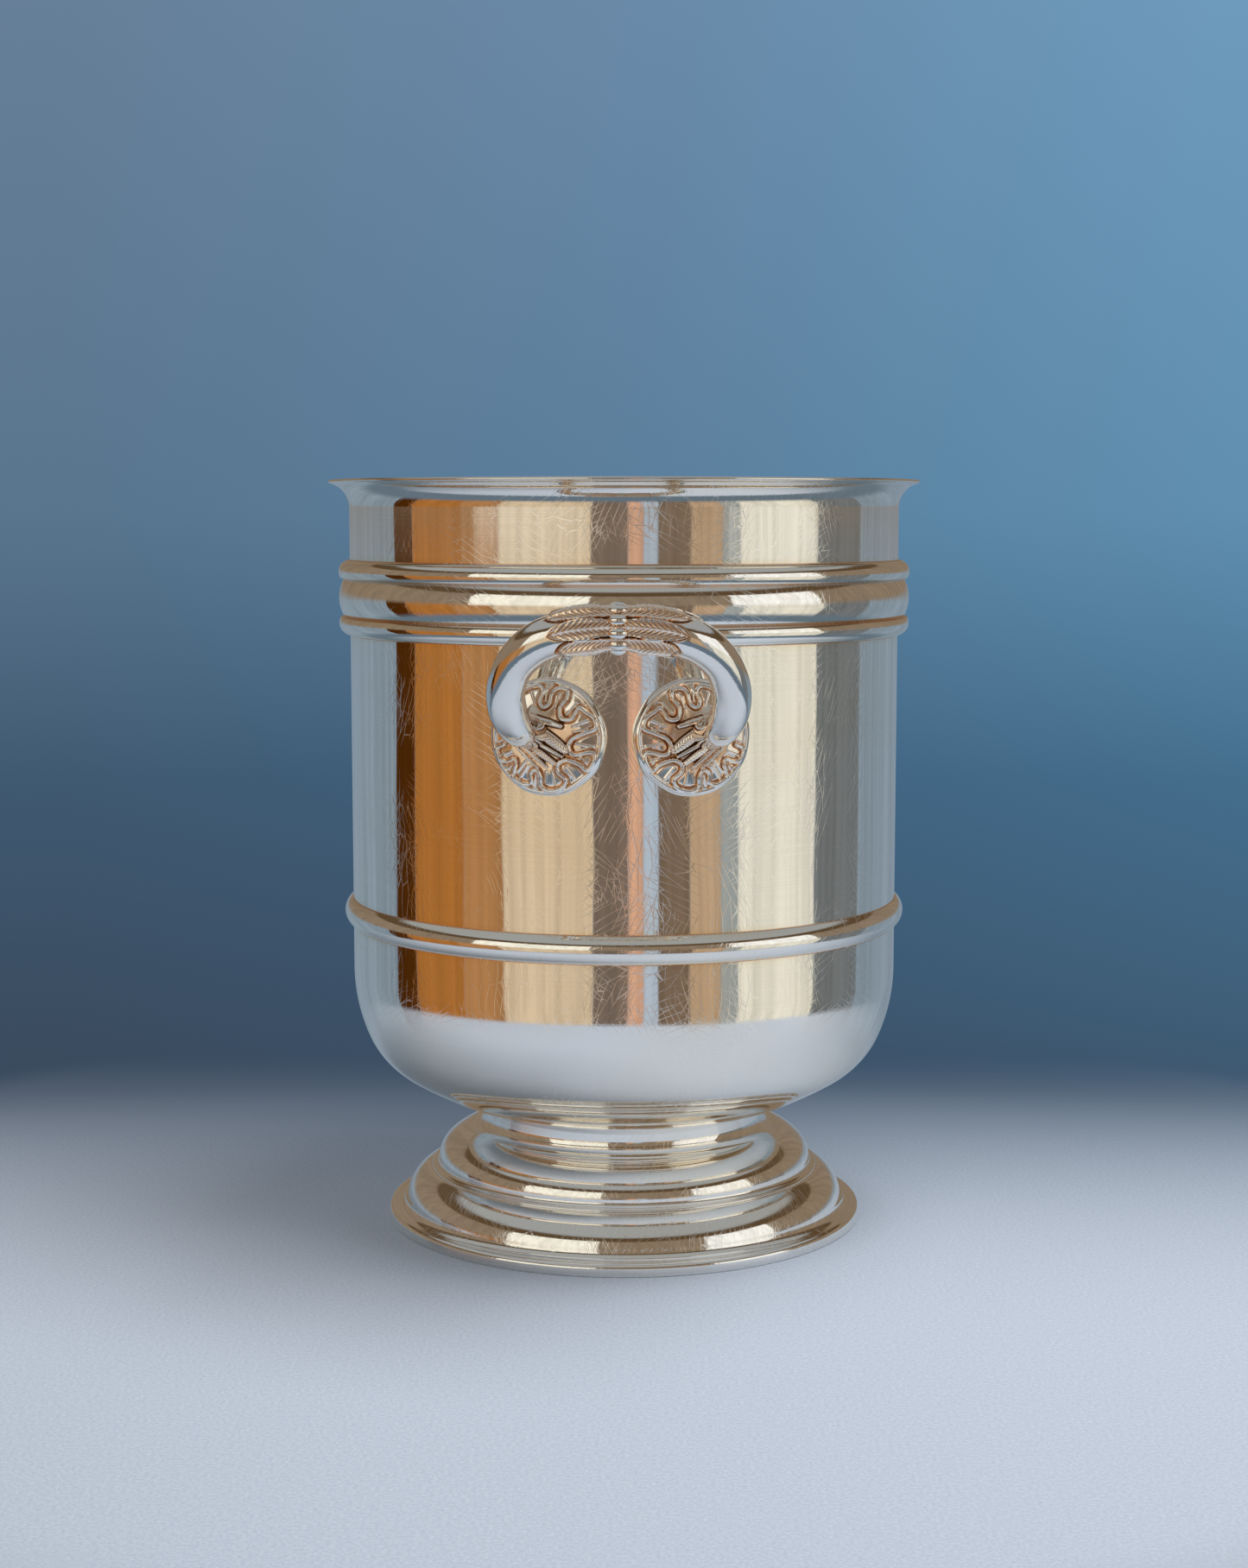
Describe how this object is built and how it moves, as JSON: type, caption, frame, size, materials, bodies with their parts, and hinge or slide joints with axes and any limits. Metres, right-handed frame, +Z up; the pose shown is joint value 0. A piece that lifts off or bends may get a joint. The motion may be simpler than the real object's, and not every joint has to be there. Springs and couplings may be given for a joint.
{
  "type": "champagne bucket",
  "caption": "Two-handled champagne bucket in silver plate: straight body with a flared lip, banded mouldings, rounded bowl, stepped domed foot and loop handles on rosettes.",
  "frame": {"origin": "middle of the foot, on the surface that it stands on", "axes": "+Z up along the body's axis; the two handles are at -Y (front) and +Y (back), +X to the right of a person facing the front handle"},
  "size_m": [0.193, 0.2554, 0.2451],
  "materials": {
    "polished_plate": "polished",
    "oxidised_casting": "polished"
  },
  "bodies": {
    "root": {"body_shell": "polished_plate", "upper_reed": "polished_plate", "wide_band": "polished_plate", "lower_reed": "polished_plate", "lower_wire": "polished_plate", "foot_dome": "polished_plate", "foot_base": "polished_plate", "foot_rim_wire": "polished_plate", "handle_front": "oxidised_casting", "bead_ring_front": "oxidised_casting", "handle_back": "oxidised_casting", "bead_ring_back": "oxidised_casting", "rosette_front_left": "oxidised_casting", "rosette_front_right": "oxidised_casting", "rosette_back_left": "oxidised_casting", "rosette_back_right": "oxidised_casting"}
  },
  "joints": []
}
